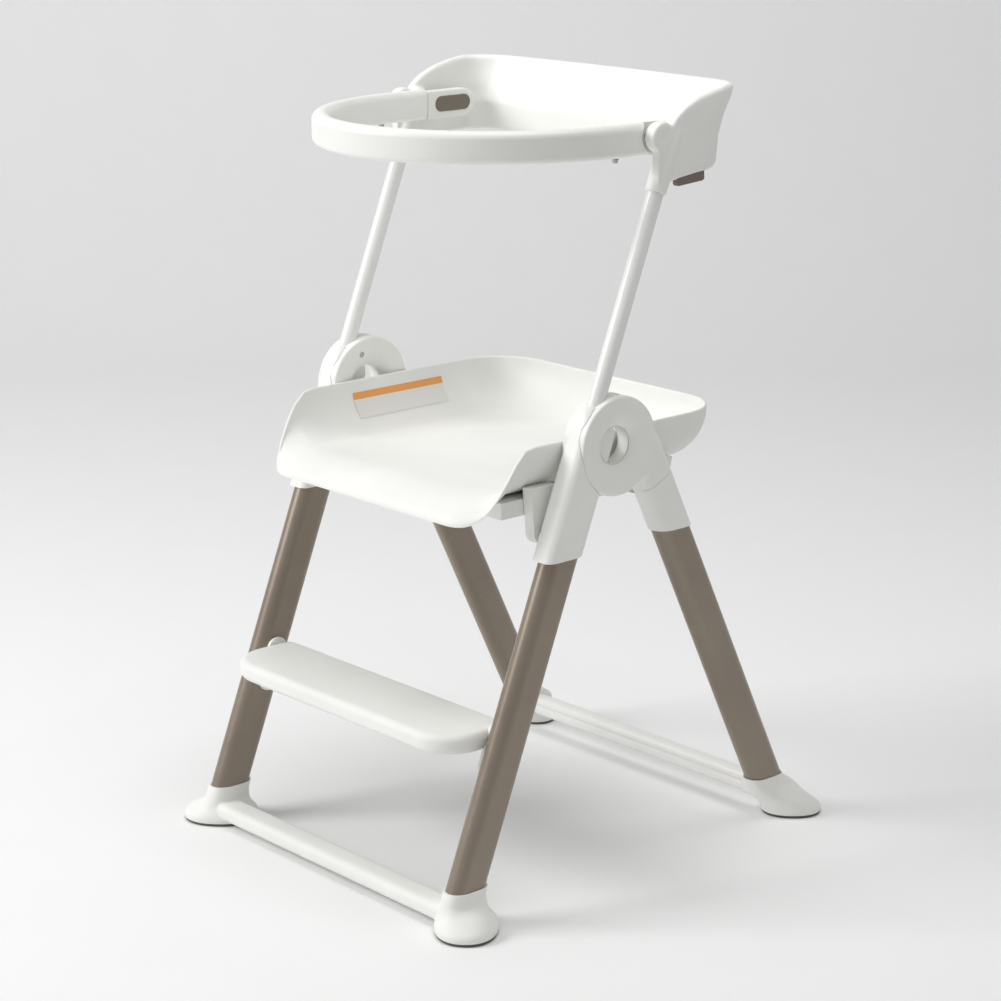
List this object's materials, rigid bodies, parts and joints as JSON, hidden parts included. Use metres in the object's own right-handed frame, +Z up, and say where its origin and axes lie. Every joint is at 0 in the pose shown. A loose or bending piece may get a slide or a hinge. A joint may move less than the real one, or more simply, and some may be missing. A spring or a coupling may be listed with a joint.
{
  "type": "baby high chair",
  "caption": "Folding toddler tower: moulded standing platform on crossed-hinge leg frames, with a fixed climbing step, a backrest and a lifting guard rail.",
  "frame": {"origin": "on the floor, under the middle of the footprint", "axes": "+X to the side, from the left frame to the right frame; +Y from the climbing step to the backrest; +Z up"},
  "size_m": [0.5608, 0.6349, 0.942],
  "materials": {
    "white_plastic": "satin moulded",
    "white_metal": "satin white paint",
    "taupe_metal": "satin taupe paint",
    "taupe_plastic": "fine texture",
    "foot_rubber": "matt",
    "hardware_steel": "plain",
    "label_paper": "printed film, blank with a coloured band"
  },
  "bodies": {
    "front_frame": {"front_leg_R": "taupe_metal", "front_leg_L": "taupe_metal", "front_socket_R": "white_plastic", "front_socket_L": "white_plastic", "post_R": "white_metal", "post_L": "white_metal", "front_foot_R": "white_plastic", "front_foot_L": "white_plastic", "front_pad_R": "foot_rubber", "front_pad_L": "foot_rubber", "step_bracket_R": "white_plastic", "step_bracket_L": "white_plastic", "tray_pin_R": "hardware_steel", "tray_pin_L": "hardware_steel", "post_cap_R": "white_plastic", "post_cap_L": "white_plastic", "guard_pin_R": "hardware_steel", "guard_pin_L": "hardware_steel", "front_bar": "white_plastic", "step_tread": "white_plastic", "backrest": "white_plastic"},
    "rear_frame": {"rear_leg_R": "taupe_metal", "rear_leg_L": "taupe_metal", "rear_socket_R": "white_plastic", "rear_socket_L": "white_plastic", "hub_cover_R": "white_plastic", "hub_cover_L": "white_plastic", "hub_bush_R": "hardware_steel", "hub_bush_L": "hardware_steel", "hub_screw_R": "hardware_steel", "hub_screw_L": "hardware_steel", "rear_foot_R": "white_plastic", "rear_foot_L": "white_plastic", "rear_pad_R": "foot_rubber", "rear_pad_L": "foot_rubber", "rear_bar": "white_metal", "support_rod": "hardware_steel"},
    "platform": {"tray": "white_plastic", "tray_underframe": "white_plastic", "tray_label": "label_paper", "tray_pivot_lug_R": "white_plastic", "tray_pivot_lug_L": "white_plastic", "tray_saddle_R": "white_plastic", "tray_saddle_L": "white_plastic"},
    "guard_loop": {"guard_bow": "white_plastic", "guard_arm_R": "white_plastic", "guard_arm_L": "white_plastic", "guard_screw_R": "hardware_steel", "guard_screw_L": "hardware_steel"},
    "release_button_right": {"release_button_R": "taupe_plastic"},
    "release_button_left": {"release_button_L": "taupe_plastic"},
    "fold_trigger_right": {"fold_trigger_R": "taupe_plastic"},
    "fold_trigger_left": {"fold_trigger_L": "taupe_plastic"}
  },
  "joints": [
    {"name": "fold", "type": "hinge", "parent": "front_frame", "child": "rear_frame", "pos_m": [0, -0.046, 0.5395], "axis": [-1, 0, 0], "range_deg": [0, 44]},
    {"name": "platform_tilt", "type": "hinge", "parent": "front_frame", "child": "platform", "pos_m": [0, -0.128, 0.444], "axis": [1, 0, 0], "range_deg": [0, 65.2]},
    {"name": "guard_lift", "type": "hinge", "parent": "front_frame", "child": "guard_loop", "pos_m": [0, 0.028, 0.89], "axis": [-1, 0, 0], "range_deg": [0, 90]},
    {"name": "button_press_right", "type": "slide", "parent": "guard_loop", "child": "release_button_right", "axis": [1, 0, 0], "range_m": [0, 0.003], "stiffness_N_per_m": 300},
    {"name": "button_press_left", "type": "slide", "parent": "guard_loop", "child": "release_button_left", "axis": [-1, 0, 0], "range_m": [0, 0.003], "stiffness_N_per_m": 300},
    {"name": "trigger_pull_right", "type": "slide", "parent": "front_frame", "child": "fold_trigger_right", "axis": [0, -0.127, 0.9919], "range_m": [0, 0.005], "stiffness_N_per_m": 300},
    {"name": "trigger_pull_left", "type": "slide", "parent": "front_frame", "child": "fold_trigger_left", "axis": [0, -0.127, 0.9919], "range_m": [0, 0.005], "stiffness_N_per_m": 300}
  ],
  "couplings": [
    {"joint": "platform_tilt", "follows": "fold", "ratio": 1.4773}
  ]
}
